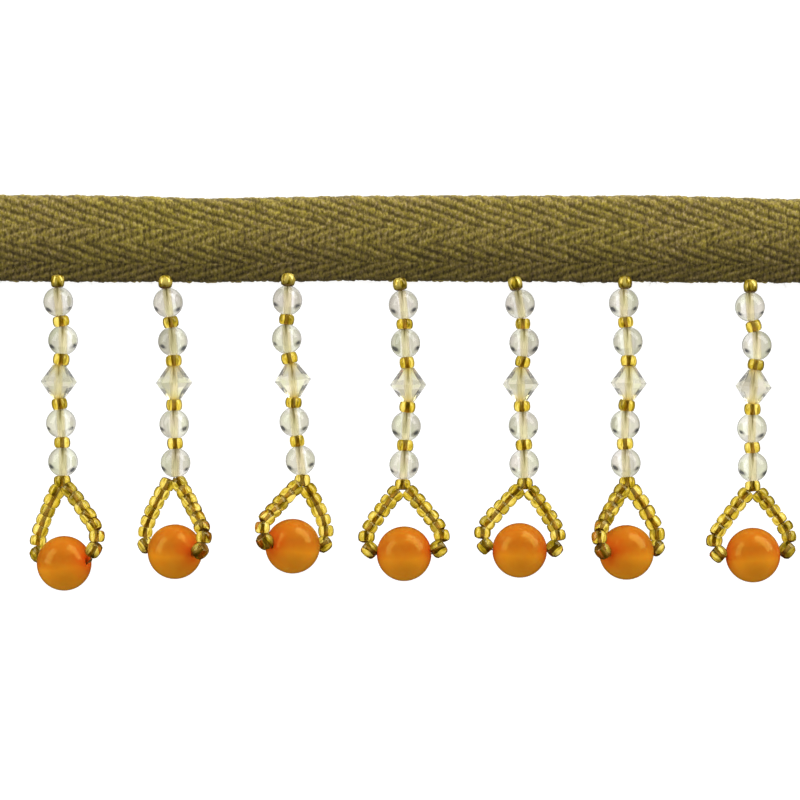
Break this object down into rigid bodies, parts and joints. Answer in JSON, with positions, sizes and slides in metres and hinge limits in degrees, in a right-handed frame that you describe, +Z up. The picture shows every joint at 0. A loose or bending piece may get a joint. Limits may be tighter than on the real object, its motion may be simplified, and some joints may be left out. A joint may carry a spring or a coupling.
{
  "type": "length of beaded fringe trim",
  "caption": "Cut length of beaded fringe: a folded herringbone tape holding strings of gold seed beads, clear round beads and bicones, each ending in a loop of seeds through an amber ball.",
  "frame": {"origin": "under the middle of the whole length, on the surface that it lies on", "axes": "+X along the tape, +Y from the drops towards the tape's fold, +Z up from the surface, out of the face"},
  "size_m": [0.121, 0.058, 0.0087],
  "materials": {
    "tape_cotton": "matt olive herringbone cotton",
    "seed_glass": "glossy yellow glass with a gold lining",
    "clear_glass": "clear, polished",
    "amber_ball": "translucent amber orange, polished"
  },
  "bodies": {
    "root": {"heading_tape": "tape_cotton", "drop_1_thread": "seed_glass", "drop_1_round1": "clear_glass", "drop_1_round2": "clear_glass", "drop_1_bicone": "clear_glass", "drop_1_round3": "clear_glass", "drop_1_round4": "clear_glass", "drop_1_ball": "amber_ball", "drop_2_thread": "seed_glass", "drop_2_round1": "clear_glass", "drop_2_round2": "clear_glass", "drop_2_bicone": "clear_glass", "drop_2_round3": "clear_glass", "drop_2_round4": "clear_glass", "drop_2_ball": "amber_ball", "drop_3_thread": "seed_glass", "drop_3_round1": "clear_glass", "drop_3_round2": "clear_glass", "drop_3_bicone": "clear_glass", "drop_3_round3": "clear_glass", "drop_3_round4": "clear_glass", "drop_3_ball": "amber_ball", "drop_4_thread": "seed_glass", "drop_4_round1": "clear_glass", "drop_4_round2": "clear_glass", "drop_4_bicone": "clear_glass", "drop_4_round3": "clear_glass", "drop_4_round4": "clear_glass", "drop_4_ball": "amber_ball", "drop_5_thread": "seed_glass", "drop_5_round1": "clear_glass", "drop_5_round2": "clear_glass", "drop_5_bicone": "clear_glass", "drop_5_round3": "clear_glass", "drop_5_round4": "clear_glass", "drop_5_ball": "amber_ball", "drop_6_thread": "seed_glass", "drop_6_round1": "clear_glass", "drop_6_round2": "clear_glass", "drop_6_bicone": "clear_glass", "drop_6_round3": "clear_glass", "drop_6_round4": "clear_glass", "drop_6_ball": "amber_ball", "drop_7_thread": "seed_glass", "drop_7_round1": "clear_glass", "drop_7_round2": "clear_glass", "drop_7_bicone": "clear_glass", "drop_7_round3": "clear_glass", "drop_7_round4": "clear_glass", "drop_7_ball": "amber_ball"}
  },
  "joints": []
}
